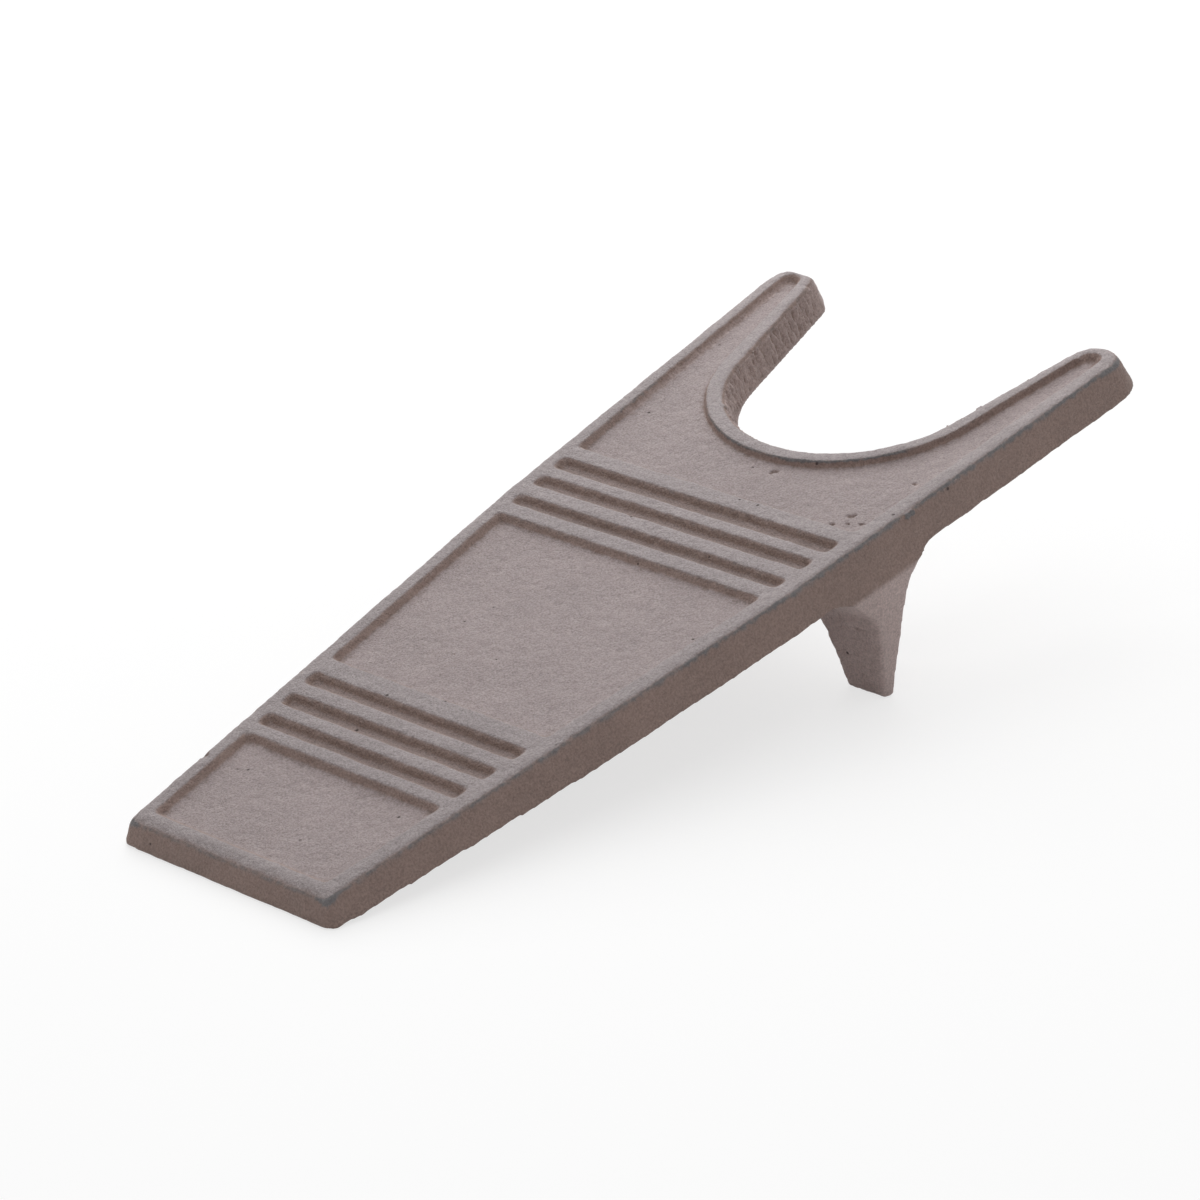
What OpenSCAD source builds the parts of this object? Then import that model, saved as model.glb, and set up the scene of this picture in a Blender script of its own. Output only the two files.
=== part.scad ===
// Boot jack: a forked cast-iron tread plate that stands on its tail edge and two short legs.
// The real object is one casting. Its sections are separate solids here and meet face to face.
// The tread is drawn flat, with its tail edge at x = 0, its top face at z = 0 and its fork towards +x.
// It is then tilted and set down on the floor. Millimetres, degrees.

/* [Tread plate] */
// Length of the top face, from the tail edge to the prong tips
tread_length = 237.5; // [232:0.5:245]
// Width of the top face at the tail edge
tail_width = 56; // [52:1:62]
// Distance from the prong tips back to the slight bend in both side edges
bend_distance = 106.5; // [95:0.5:112]
// Width of the top face at the bend
bend_width = 84; // [80:0.2:88]
// Width of the top face across the prong tips
tip_width = 98.2; // [97:0.2:104]
// Thickness of the plate
plate_thickness = 8.2; // [7:0.1:10]
// Thickness of the plate at its tail edge
tail_thickness = 6.3; // [5:0.1:6.9]
// Length over which the underside thins the plate towards the tail edge
thinning_length = 69; // [40:1:110]
// Angle by which the sides and the tips lean outwards below the top face
side_draft = 25.5; // [18:0.5:28]
// Angle by which the tail end leans out below the top face
tail_draft = 16; // [10:0.5:25]
// How much is cut off the two tail corners along each edge
tail_corner_cut = 2; // [1:0.5:5]

/* [Stance] */
// Tilt of the tread over the floor
stand_angle = 12.4; // [11:0.1:15]
// Length of the flat on which the tail edge rests
tail_flat_length = 2; // [1:0.5:5]

/* [Heel notch] */
// Depth of the notch, from the prong tips to its back
notch_depth = 64.3; // [60:0.1:67]
// Radius of the round back of the notch
notch_radius = 31.8; // [28:0.2:32]
// Angle by which each side of the notch opens towards the tips
notch_flare = 12.2; // [10:0.2:13]
// Angle by which the notch's wall leans into the notch below the top face
notch_draft = 17; // [10:0.5:18]

/* [Rim and panels] */
// Width of the raised rim along the sides, the prongs and the notch
rim_width = 3.7; // [3:0.1:4]
// Width of the rim across the tail edge, and along the sides where they start
tail_rim_width = 4.4; // [3:0.1:6]
// Depth of the panels and grooves below the rim
recess_depth = 1.6; // [1:0.1:2]
// Angle by which the panels' walls lean away from upright
recess_lean = 22; // [5:1:25]

/* [Grip ribs] */
// Number of ribs in each of the two rows
ribs_per_row = 4; // [2:1:4]
// Width of the grooves between neighbouring ribs
groove_width = 3.2; // [2.5:0.1:3.5]
// Distance from the tail edge to the lower row
lower_row_distance = 34.3; // [30:0.1:50]
// Width of each rib of the lower row
lower_rib_width = 4.8; // [4:0.1:6]
// Distance from the prong tips back to the upper row
upper_row_distance = 83.4; // [82:0.1:97]
// Width of each rib of the upper row
upper_rib_width = 5; // [4:0.1:5.5]

/* [Legs] */
// Distance from the prong tips back to the legs' tail faces
leg_distance = 89; // [86:0.1:93]
// Width of each foot, across the tread
foot_width = 10; // [8:0.1:13]
// Thickness of each foot, along the tread
foot_thickness = 3.2; // [2.5:0.1:7]
// Angle by which a leg's fork face leans, so that the leg thickens upwards
fork_face_lean = 15.5; // [10:0.5:22]
// Angle by which a leg's inner face leans
inner_face_lean = 16; // [5:0.5:20]
// Angle by which a leg's outer face leans in below the skirt
outer_face_lean = 5; // [1:0.1:8]
// Depth of the skirt that carries the plate's side down over the leg
skirt_depth = 2; // [1:0.1:4]
// Length of the ramp under the plate in front of each leg
ramp_length = 14; // [10:0.5:18]
// Depth of the ramp where it reaches the leg
ramp_depth = 2; // [1:0.1:4]
// Radius between the ramp and a leg's tail face
tail_fillet_radius = 8; // [3:0.5:9]
// Radius between the underside and a leg's fork face
fork_fillet_radius = 9; // [5:0.5:12]
// Radius between the underside and a leg's inner face
inner_fillet_radius = 14; // [6:0.5:18]

/* [Hidden] */
$fn = 64;
iron = [0.42, 0.37, 0.35];
worn_iron = [0.56, 0.53, 0.53];
// Longer than the part every way: the size of the blocks that cut it
reach = 2 * tread_length;
// How far short of a feather edge the rounds under the plate stop
fillet_edge = 0.3;

// Half widths and headings of the left edge of the top face
half_tail = tail_width / 2;
half_bend = bend_width / 2;
half_tip = tip_width / 2;
fork_heading = atan2(half_tip - half_bend, bend_distance);

// Places along the tread that keep their distance from the prong tips
bend_x = tread_length - bend_distance;
notch_back = tread_length - notch_depth;
leg_x = tread_length - leg_distance;
upper_row_x = tread_length - upper_row_distance
    - ribs_per_row * upper_rib_width - (ribs_per_row - 1) * groove_width;

// The notch's side and the outer edge both touch the round prong tip, which sets its radius
notch_centre = [notch_back + notch_radius, 0];
notch_half_mouth = notch_radius / cos(notch_flare) + (tread_length - notch_centre.x) * tan(notch_flare);
tip_radius = (half_tip - notch_half_mouth)
    / (tan(fork_heading) + 1 / cos(fork_heading) - tan(notch_flare) + 1 / cos(notch_flare));
tip_centre = [tread_length - tip_radius,
              half_tip - tip_radius * (tan(fork_heading) + 1 / cos(fork_heading))];

// The floor passes through the underside where the tail's flat ends
thinning_angle = atan2(plate_thickness - tail_thickness, thinning_length);
floor_x = tail_flat_length - tail_thickness * tan(tail_draft);
floor_z = -tail_thickness - floor_x * tan(thinning_angle);
function floor_below(x) = floor_z - (x - floor_x) * tan(stand_angle);

// The origin is under the middle of the standing part, between the tail end's lowest corner and the tips
rear_z = (floor_z + floor_x * tan(stand_angle)) / (1 + tan(tail_draft) * tan(stand_angle));
rear_x = min(0, rear_z * (tan(tail_draft) * cos(stand_angle) - sin(stand_angle)));
front_x = (tread_length + plate_thickness * tan(side_draft)) * cos(stand_angle)
    + plate_thickness * sin(stand_angle);
lift = -(floor_x * sin(stand_angle) + floor_z * cos(stand_angle));

function toward(angle) = [cos(angle), sin(angle)];
function reversed(list) = [for (i = [len(list) - 1:-1:0]) list[i]];

// Tilts a child from the flat drawing position and sets it on the floor
module standing() {
    translate([-(rear_x + front_x) / 2, 0, lift]) rotate([0, -stand_angle, 0]) children();
}

// A child and its mirror image across the tread
module both_sides() {
    children();
    mirror([0, 1, 0]) children();
}

// Everything to the right of an edge line; lean tips the wall outwards below the line
module right_of(point, heading, lean, z = 0) {
    translate([point.x, point.y, z]) rotate([0, 0, heading]) rotate([lean, 0, 0])
        translate([-reach, -2 * reach, -reach]) cube(2 * reach);
}

// Everything below a plane that falls towards the fork by an angle
module below(x, z, angle) {
    translate([x, 0, z]) rotate([0, angle, 0])
        translate([-reach, -reach, -reach]) cube([2 * reach, 2 * reach, reach]);
}

// A slice of the drawing space between two distances from the tail edge
module between(from, to, bottom = -reach, top = reach) {
    translate([from, -reach, bottom]) cube([to - from, 2 * reach, top - bottom]);
}

// An upright wedge around a centre, between two directions
module sector(centre, from, to) {
    translate([0, 0, -reach]) linear_extrude(2 * reach)
        polygon([centre, for (i = [0:4]) centre + reach * toward(from + (to - from) * i / 4)]);
}

// A round that is tangent to leaning walls: its radius grows below the top face
module leaning_round(centre, radius, lean, bottom, top = 0) {
    translate([centre.x, centre.y, bottom])
        cylinder(h = top - bottom, r1 = radius - bottom * tan(lean), r2 = radius - top * tan(lean));
}

// The notch, with its edge moved back by an inset
module notch(depth, lean, inset) {
    radius = notch_radius + inset;
    leaning_round(notch_centre, radius, -lean, -depth - 1, 1);
    intersection() {
        between(0, reach, -depth - 1, 1);
        sector(notch_centre, -90 - notch_flare, 90 + notch_flare);
        intersection_for(side = [0, 1]) mirror([0, side, 0])
            right_of(notch_centre + radius * toward(90 + notch_flare), notch_flare, -lean);
    }
}

// The tread's plan as a solid: from the top face down to a depth, with its edges moved in by a rim.
// The walls lean outwards: the sides and tips by one angle, the tail end and the notch by their own
module plan_body(depth, lean, tail_lean, notch_lean, rim, tail_rim) {
    tail_point = [0, half_tail - tail_rim];
    bend_point = [bend_x, half_bend - rim / cos(fork_heading)];
    tail_heading = atan2(bend_point.y - tail_point.y, bend_x);
    difference() {
        union() {
            difference() {
                intersection() {
                    between(-reach, reach, -depth, 0);
                    right_of([tail_rim, 0], 90, tail_lean);
                    intersection_for(side = [0, 1]) mirror([0, side, 0])
                        right_of(tail_point, tail_heading, lean);
                    intersection_for(side = [0, 1]) mirror([0, side, 0])
                        right_of(bend_point, fork_heading, lean);
                }
                both_sides() sector(tip_centre, notch_flare - 90, fork_heading + 90);
            }
            both_sides() leaning_round(tip_centre, tip_radius - rim, lean, -depth);
        }
        notch(depth, notch_lean, rim);
    }
}

// The whole casting without its legs. The cut at a tail corner stays equally wide on its way down
module casting() {
    corner_draft = atan((tan(side_draft) + tan(tail_draft)) / sqrt(2));
    intersection() {
        plan_body(plate_thickness, side_draft, tail_draft, notch_draft, 0, 0);
        intersection_for(side = [0, 1]) mirror([0, side, 0])
            right_of([0, half_tail - tail_corner_cut], 45, corner_draft);
    }
}

// All that is hollowed out inside the rim, before the ribs are added
module pocket() {
    plan_body(recess_depth, -recess_lean, -recess_lean, -recess_lean, rim_width, tail_rim_width);
}

// The plate under the panels, between two distances from the tail edge
module core(from, to) {
    difference() {
        intersection() {
            casting();
            between(from, to, -reach, -recess_depth);
        }
        below(thinning_length, -plate_thickness, thinning_angle);
        below(floor_x, floor_z, stand_angle);
    }
}

module ring() {
    difference() {
        intersection() {
            casting();
            between(-reach, reach, -recess_depth, reach);
        }
        pocket();
    }
}

// The part of the plan that belongs to the rim round the notch; its edge runs along the panels
module cradle_zone() {
    back = [notch_back - 3 * rim_width, 0.8 * notch_radius];
    beside = [notch_centre.x, (notch_radius / cos(notch_flare) + half_tip) / 2];
    mouth = [tip_centre.x + tip_centre.y * tan(notch_flare), 0];
    translate([0, 0, -reach]) linear_extrude(2 * reach)
        polygon([back, beside, tip_centre, mouth,
                 [tip_centre.x, -tip_centre.y], [beside.x, -beside.y], [back.x, -back.y]]);
}

module tail_plate() {
    color(iron) standing() core(-reach, bend_x);
}

module fork_plate() {
    color(iron) standing() core(bend_x, notch_centre.x);
}

module prong(side) {
    color(iron) standing() mirror([0, side, 0]) intersection() {
        core(notch_centre.x, reach);
        right_of([0, 0], 180, 0);
    }
}

module tail_rim() {
    color(worn_iron) standing() intersection() {
        ring();
        between(-reach, tail_rim_width);
    }
}

module side_rim(side) {
    color(worn_iron) standing() mirror([0, side, 0]) difference() {
        intersection() {
            ring();
            between(tail_rim_width, reach);
            right_of([0, 0], 180, 0);
        }
        cradle_zone();
    }
}

module cradle_rim() {
    color(worn_iron) standing() intersection() {
        ring();
        cradle_zone();
    }
}

// One cross rib: it fills the pocket from side to side, and its walls lean as the panels' do
module rib(start, width) {
    foot = recess_depth * tan(recess_lean);
    color(worn_iron) standing() intersection() {
        pocket();
        rotate([90, 0, 0]) linear_extrude(reach, center = true)
            polygon([[start - foot, -recess_depth], [start, 0],
                     [start + width, 0], [start + width + foot, -recess_depth]]);
    }
}

module lower_rib(i) {
    rib(lower_row_distance + (i - 1) * (lower_rib_width + groove_width), lower_rib_width);
}

module upper_rib(i) {
    rib(upper_row_x + (i - 1) * (upper_rib_width + groove_width), upper_rib_width);
}

// Centre of the round between the underside and a leg's face: x is the face's place at the underside,
// side the way it looks, lean its angle. The round stops just short of feathering out.
function fillet_centre(x, side, lean, radius) =
    [x + side * (radius / cos(lean) - (radius - fillet_edge) * tan(lean)),
     -plate_thickness - radius + fillet_edge];

// Corners of a leg's outline at such a round, from the underside to the face
function fillet_corners(centre, side, lean, radius) =
    [[centre.x, -plate_thickness], centre, centre + radius * [-side * cos(lean), sin(lean)]];

// A round bar across the tread; its centre is given along the tread and up
module bar_across(centre, radius) {
    translate([centre.x, reach / 2, centre.y]) rotate([90, 0, 0]) cylinder(h = reach, r = radius);
}

// A round bar along the tread; its centre is given across the tread and up
module bar_along(centre, radius) {
    translate([0, centre.x, centre.y]) rotate([0, 90, 0]) cylinder(h = reach, r = radius);
}

module leg(side) {
    // The side view, along the tread and up
    toe_x = leg_x + foot_thickness;
    sole_z = floor_below(toe_x);
    fork_root = toe_x + (-plate_thickness - sole_z) * tan(fork_face_lean);
    fork_centre = fillet_centre(fork_root, 1, fork_face_lean, fork_fillet_radius);
    // The ramp runs down to the tail face at the heel, and a round joins the two
    heel = [leg_x, -plate_thickness - ramp_depth];
    half_turn = (90 + atan2(ramp_depth, ramp_length)) / 2;
    tail_centre = heel + tail_fillet_radius / sin(half_turn) * toward(270 - half_turn);
    tail_reach = tail_fillet_radius / tan(half_turn);
    side_view = concat(
        [[leg_x - ramp_length, -plate_thickness],
         heel + tail_reach * toward(270 - 2 * half_turn),
         tail_centre,
         heel + tail_reach * toward(270),
         [leg_x, sole_z],
         [toe_x, sole_z]],
        reversed(fillet_corners(fork_centre, 1, fork_face_lean, fork_fillet_radius)));

    // The outer face starts where the skirt ends, and meets the floor at the foot's outer edge
    fold_z = -plate_thickness - skirt_depth;
    fold = [bend_x, half_bend] - fold_z * tan(side_draft) * toward(fork_heading + 90);
    outer_y = fold.y + (leg_x - bend_x) * tan(fork_heading)
        - (fold_z - floor_below(leg_x)) * tan(outer_face_lean);

    // The front view, across the tread and up; its outer side is left wide, to be trimmed
    inner_y = outer_y - foot_width;
    inner_root = inner_y - (-plate_thickness - sole_z) * tan(inner_face_lean);
    inner_centre = fillet_centre(inner_root, -1, inner_face_lean, inner_fillet_radius);
    front_view = concat(
        fillet_corners(inner_centre, -1, inner_face_lean, inner_fillet_radius),
        [[inner_y, sole_z], [reach, sole_z], [reach, -plate_thickness]]);

    color(iron) standing() mirror([0, side, 0]) difference() {
        intersection() {
            rotate([90, 0, 0]) linear_extrude(reach, center = true) polygon(side_view);
            rotate([90, 0, 90]) linear_extrude(reach) polygon(front_view);
            right_of([bend_x, half_bend], fork_heading, side_draft);
            right_of(fold, fork_heading, -outer_face_lean, fold_z);
        }
        below(floor_x, floor_z, stand_angle);
        bar_across(tail_centre, tail_fillet_radius);
        bar_across(fork_centre, fork_fillet_radius);
        bar_along(inner_centre, inner_fillet_radius);
    }
}

tail_plate();
fork_plate();
prong(0);  // left_prong
prong(1);  // right_prong
tail_rim();
side_rim(0);  // left_rim
side_rim(1);  // right_rim
cradle_rim();
leg(0);  // left_leg
leg(1);  // right_leg
for (i = [1:ribs_per_row]) lower_rib(i);
for (i = [1:ribs_per_row]) upper_rib(i);
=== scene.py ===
"""A cast-iron boot jack on a white studio floor.

The casting is drawn flat and in millimetres, as its CAD solids are: x runs from the tail edge to the
prong tips, y across the tread to its left side and z up from the tread's top face. Once its skin is
finished, it is tilted, set down on the floor and brought to metres. Angles are in degrees.
"""

import math

import bpy
import numpy as np
from mathutils import Matrix, Vector


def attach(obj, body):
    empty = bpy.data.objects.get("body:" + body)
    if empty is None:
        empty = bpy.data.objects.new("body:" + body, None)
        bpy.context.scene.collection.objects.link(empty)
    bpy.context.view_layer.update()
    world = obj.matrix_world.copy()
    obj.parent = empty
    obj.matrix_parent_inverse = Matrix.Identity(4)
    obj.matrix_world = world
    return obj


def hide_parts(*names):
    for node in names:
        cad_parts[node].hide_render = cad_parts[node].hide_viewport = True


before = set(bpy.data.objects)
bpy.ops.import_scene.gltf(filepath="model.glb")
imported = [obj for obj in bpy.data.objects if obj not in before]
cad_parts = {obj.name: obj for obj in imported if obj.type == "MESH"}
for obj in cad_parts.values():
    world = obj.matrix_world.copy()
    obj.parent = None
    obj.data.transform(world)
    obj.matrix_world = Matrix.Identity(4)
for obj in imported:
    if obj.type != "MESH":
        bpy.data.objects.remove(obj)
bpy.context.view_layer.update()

# The tread's plan
TREAD_LENGTH = 238.4
HALF_TAIL = 28.2
BEND_X = 131
HALF_BEND = 42.2
HALF_TIP = 49.2
PLATE_THICKNESS = 8.2
TAIL_THICKNESS = 6.3
THINNING_LENGTH = 69
SIDE_DRAFT = 25.5
RIGHT_SIDE_WIDE = 0.7
RIGHT_SIDE_STEEPER = 4.1
TOP_EDGE_ROUND = 0.8

# The tail edge
TAIL_TOP_X = 0.7
TAIL_DRAFT = 25.5
TAIL_CORNER_LEAN = 23
TAIL_EDGE_ROUND = 1.1
TAIL_EDGE_LEAN = 60

# The heel notch and the prong tips
NOTCH_CENTRE_X = 205
NOTCH_CENTRE_Y = -0.9
NOTCH_RADIUS = 31.5
LEFT_NOTCH_FLARE = 12.2
RIGHT_NOTCH_FLARE = 10.3
NOTCH_DRAFT = 16
TIP_RADIUS = 5.3
TIP_DRAFT = 20
TIP_ROUND = 1.6
TIP_INNER_CORNER = (237.2, 39.5)
TIP_CORNER_LEAN = 13
LEFT_TIP_LONG = 0.5
LEFT_TIP_SHORT = 1.4
RIGHT_TIP_LONG = 1.0
RIGHT_TIP_HEEL = 0.9

# The panels and grooves and the rims round them. Each runs from its tail wall's top edge to its fork wall's.
RECESS_DEPTH = 1.75
RECESS_SLOPE = 40
RECESS_SIDE_SLOPE = 38
RECESS_NOTCH_SLOPE = 12
LEFT_RIM_AT_TAIL = 3.1
RIGHT_RIM_AT_TAIL = 4.1
SIDE_RIM_AT_BEND = 3.5
PRONG_RIM = 2.6
NOTCH_RIM = 3.8
NOTCH_RIM_TAPER = 1.5
NOTCH_RIM_CENTRE_Y = -0.5
RECESSES = [
    (4.2, 34.9),
    (38.0, 42.3),
    (45.7, 50.2),
    (53.8, 58.3),
    (63.2, 124.3),
    (128.2, 132.3),
    (136.3, 140.7),
    (143.8, 148.7),
    (153.0, 250.0),
]
WIDEST_GROOVE = 5

# A leg's cross sections from the sole up: height, tail face, fork face, inner face
LEG_SECTIONS = [
    (-46.0, 148.5, 150.6, 36.0),
    (-37.5, 148.5, 151.9, 34.2),
    (-33.0, 148.5, 153.1, 33.1),
    (-29.0, 148.5, 154.2, 31.9),
    (-26.3, 148.5, 155.1, 31.1),
    (-23.5, 148.5, 155.8, 29.8),
    (-20.3, 148.4, 156.7, 28.2),
    (-18.0, 148.0, 157.5, 26.7),
    (-16.3, 146.4, 158.1, 25.3),
    (-14.3, 144.7, 158.9, 23.4),
    (-12.4, 143.3, 160.2, 21.2),
    (-10.4, 141.6, 162.4, 18.6),
    (-8.6, 138.0, 166.3, 15.8),
    (-6.6, 133.0, 173.0, 12.0),
]
LEG_OUTER_Y = 60
LEG_OUTER_LEAN = 5
LEG_FOLD_Z = -10.2
LEG_EDGE_ROUND = 1.4
LEG_EDGE_TOP = -13

# The stance: the tread's slope, and where its tail edge stands from the middle of the floor
MM = 0.001
STAND_ANGLE = 12.4
TAIL_OFFSET = Vector((-118.578, 0, 6.117))
LIE_FLAT = Matrix.Rotation(math.radians(STAND_ANGLE), 3, "Y")

# Places past the tread, where a block starts or ends before it is cut
BEFORE_TAIL = -20
BEYOND_TIPS = 300
BESIDE_PRONGS = 60
BESIDE_TREAD = 70

# How far a tool goes past what it cuts, and how near to the top face or a leg's edge counts as on it
CUT_CLEARANCE = 1
ON_TOP_FACE = 0.01
ON_LEG_EDGE = 0.1
ROUND_SIDES = 96

# The skin's fineness, and its zones in the flat drawing
VOXEL = 0.4
MOST_TRIANGLES = 190000
UPPER_SIDE_Z = -5
LEG_TOP_Z = -8.6
LEG_RAMP_TOP_Z = -7
LEG_RAMP = (150, 178)
LEG_TAIL_FACE_X = 149.5
LEG_TAIL_FACE_Z = -12
LOW_CORNER_Z = -3.5
LOW_TIP_X = TREAD_LENGTH - 4
LOW_TAIL_CORNER = (2, 26)
PARTING_LINE = (-10.5, -5.6)
NOTCH_WALL = (-7.4, -1)
NOTCH_WALL_END = TREAD_LENGTH - 5
NOTCH_SIDES_START = NOTCH_CENTRE_X - 6
NEAR_NOTCH_BACK = 0.7
NEAR_NOTCH_SIDE = 1.2

# Small faults of the casting, each a place and its reach
PIT_DEPTH = 0.45
PITS = [
    (159.8, -33.6, -1.75, 0.75),
    (160.6, -34.1, -1.75, 0.5),
    (155.4, -31.9, -1.75, 0.6),
    (158.3, -37.9, -1.75, 0.55),
    (157.1, -35.0, -1.75, 0.5),
    (167.0, -6.6, -1.75, 0.6),
    (166.2, -6.0, -1.75, 0.45),
    (176.4, -38.2, -1.75, 0.5),
    (24.1, 30.6, -0.2, 1.0),
]
BURR_HEIGHT = 0.3
BURRS = [
    (164.7, -45.5, -1.3, 0.9),
    (166.0, -45.6, -1.2, 0.7),
    (182.1, 20.3, -0.2, 0.9),
    (206.5, -33.0, -0.3, 0.8),
]

# The marks on the skin: how far a full mark stands out or lies in, and where the marks change
FULLY_WORN = 0.29
FULLY_HOLLOW = 0.2
UNWORN_Z = -1.9
WORN_Z = -1.2
HANDLED_X = 150
TAIL_EDGE_END_X = 4
FORK_X = 170
PRONGS_X = 185
LEFT_PRONG_Y = 20
RIGHT_PRONG_Y = -28
SIDE_EDGE = 3
NOTCH_EDGE = 2
BESIDE_NOTCH = 42
AROUND_NOTCH = 46
NOTCH_WALL_TOP = -0.9
GROOVE_HEIGHTS = (-4, -0.7)
PARTING_Z = -9.6
BELOW_PARTING_Z = -10.6

# How strongly the parts of the skin are worn, where 1 is a plain outer edge
WORN_LOW_DOWN = 0.04
WORN_LITTLE = 0.35
WORN_LESS = 0.6
WORN_MORE = 1.8

# How far up a face looks, from 0 to 1, when it is too flat to wear and when it wears in full
UNWORN_FLAT = 0.94
WORN_SLANTING = 0.72

# The iron's patterns, in repeats per millimetre, the stretch towards the fork over which upward faces take
# painted light, and the stretch over which the rims grow paler
GRAIN_SCALE = 2.0
LUMP_SCALE = 0.45
CLOUD_SCALE = 0.06
PIT_SCALE = 0.2
PIT_PATCH_SCALE = 0.09
PAINTED_LIGHT_STRETCH = (165, 225)
PALER_RIMS_STRETCH = (60, 150)

# The colours of the iron, with the flats' painted sheen, the painted light and the rust with painted shade
# among them, how strongly rust with painted shade and bare iron show, and the height of its finest relief
BROWN_SKIN = (0.29, 0.202, 0.174, 1)
# On the tread's upward faces: paler where boots rub them, and lighter and more neutral with painted sheen
RUBBED_FLAT_WITH_SHEEN = (0.342, 0.278, 0.274, 1)
RUBBED_CREST_WITH_SHEEN = (0.318, 0.271, 0.271, 1)
# Painted light: the legs' colour for the floor's bounce, and the notch wall's for the softbox behind
PAINTED_LIGHT_SKIN = (0.53, 0.415, 0.395, 1)
BARE_EDGE = (0.115, 0.122, 0.131, 1)
# Rust with painted shade, for the hollows and the grooves
HOLLOW_RUST_AND_SHADE = (0.19, 0.125, 0.1, 1)
DARK_SPECK = (0.06, 0.036, 0.03, 1)
RUST_AND_SHADE_SHARE = 0.6
BARE_SHARE = 0.8
BARE_SHINE = 0.16
BARE_METAL = 0.2
RELIEF_HEIGHT = 0.8

# The studio, in metres: its paper, its softboxes' names, places, sizes and watts, and its camera
FLOOR_SIZE = 12
PAPER = (0.86, 0.86, 0.86, 1)
PAPER_ROUGHNESS = 0.9
PAPER_SHINE = 0.2
PAPER_GLOW = 1.12
GLOW_SHARE = 0.62
WHITE = (1, 1, 1, 1)
SKY_ON_CASTING = 0.35
SKY_IN_VIEW = 1.0
SOFTBOXES = [
    ("softbox_overhead", (0, 0, 1.6), 1.6, 6.5),
    ("softbox_behind", (0.62, 0.72, 0.9), 1.0, 10.5),
]
CAMERA_PLACE = (-0.66160, -0.60573, 0.40933)
CAMERA_TURN = (66.685, 1.336, -47.835)
LENS_MM = 135.65
SENSOR_MM = 36
CAMERA_REACH = 20


def slope(degrees):
    return math.tan(math.radians(degrees))


def deselect_all():
    bpy.ops.object.select_all(action="DESELECT")


def make_active(piece):
    deselect_all()
    piece.select_set(True)
    bpy.context.view_layer.objects.active = piece


def apply_place(piece):
    """Puts a piece's place, turn and scale into its mesh, and leaves it the active one."""
    make_active(piece)
    bpy.ops.object.transform_apply(location=True, rotation=True, scale=True)


def copied(piece):
    """A copy with a mesh of its own."""
    copy = piece.copy()
    copy.data = piece.data.copy()
    bpy.context.collection.objects.link(copy)
    return copy


def block(name, lowest, highest):
    """A block between two corners, to be shaped by cuts."""
    deselect_all()
    low = Vector(lowest)
    high = Vector(highest)
    bpy.ops.mesh.primitive_cube_add(size=1, location=(low + high) / 2, scale=high - low)
    piece = bpy.context.object
    piece.name = name
    apply_place(piece)
    return piece


def leaning_round(name, x, y, radius, lean, bottom, top):
    """A tapered round whose radius at the top face is given."""
    deselect_all()
    bpy.ops.mesh.primitive_cone_add(
        vertices=ROUND_SIDES,
        radius1=radius - bottom * slope(lean),
        radius2=radius - top * slope(lean),
        depth=top - bottom,
        location=(x, y, (bottom + top) / 2),
    )
    piece = bpy.context.object
    piece.name = name
    apply_place(piece)
    return piece


def cut(piece, point, normal):
    """Cuts the piece along a plane and closes it, and drops what the normal points to."""
    make_active(piece)
    bpy.ops.object.mode_set(mode="EDIT")
    bpy.ops.mesh.select_all(action="SELECT")
    bpy.ops.mesh.bisect(plane_co=point, plane_no=normal, use_fill=True, clear_outer=True, threshold=1e-5)
    bpy.ops.object.mode_set(mode="OBJECT")


def wall_normal(heading, lean):
    """The outward normal of a wall on the left of a heading, which faces up by its lean."""
    turn = math.radians(heading)
    tip = math.radians(lean)
    return (-math.sin(turn) * math.cos(tip), math.cos(turn) * math.cos(tip), math.sin(tip))


def cut_wall(piece, x, y, heading, lean):
    """Cuts off what lies to the left of an edge line. A positive lean tips the wall outwards below it."""
    cut(piece, (x, y, 0), wall_normal(heading, lean))


def cut_underside(piece, x, z, fall):
    """Cuts off what lies under a plane that falls towards the fork, by an angle in radians."""
    cut(piece, (x, 0, z), (-math.sin(fall), 0, -math.cos(fall)))


def cut_floor(piece):
    """Cuts off what would lie under the floor once the casting is tilted."""
    fall = math.radians(STAND_ANGLE)
    cut_underside(piece, 0, -TAIL_OFFSET.z / math.cos(fall), fall)


def combine(piece, tool, operation, keep_tool=False):
    """Adds the tool to the piece or cuts it away."""
    make_active(piece)
    boolean = piece.modifiers.new(operation.lower(), "BOOLEAN")
    boolean.operation = operation
    boolean.object = tool
    boolean.solver = "EXACT"
    bpy.ops.object.modifier_apply(modifier=boolean.name)
    if not keep_tool:
        bpy.data.objects.remove(tool)


def carve(pieces, tool):
    """Cuts the tool away from several pieces, and uses it up."""
    for piece in pieces:
        combine(piece, tool, "DIFFERENCE", keep_tool=True)
    bpy.data.objects.remove(tool)


def select_edges(piece, wanted):
    """Selects the edges whose two ends pass a test, and leaves the piece in edit mode."""
    make_active(piece)
    bpy.ops.object.mode_set(mode="EDIT")
    bpy.ops.mesh.select_mode(type="EDGE")
    bpy.ops.mesh.select_all(action="DESELECT")
    bpy.ops.object.mode_set(mode="OBJECT")
    for edge in piece.data.edges:
        start, end = (piece.data.vertices[index].co for index in edge.vertices)
        edge.select = wanted(start, end)
    bpy.ops.object.mode_set(mode="EDIT")


def bevel_edges(piece, wanted, size, segments):
    """Rounds the edges whose two ends pass a test."""
    select_edges(piece, wanted)
    bpy.ops.mesh.bevel(offset=size, segments=segments, affect="EDGES")
    bpy.ops.object.mode_set(mode="OBJECT")


def round_top_edge(piece, size):
    """Rounds all edges that lie in the top face."""

    def in_top_face(start, end):
        return abs(start.z) < ON_TOP_FACE and abs(end.z) < ON_TOP_FACE

    bevel_edges(piece, in_top_face, size, segments=4)


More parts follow.
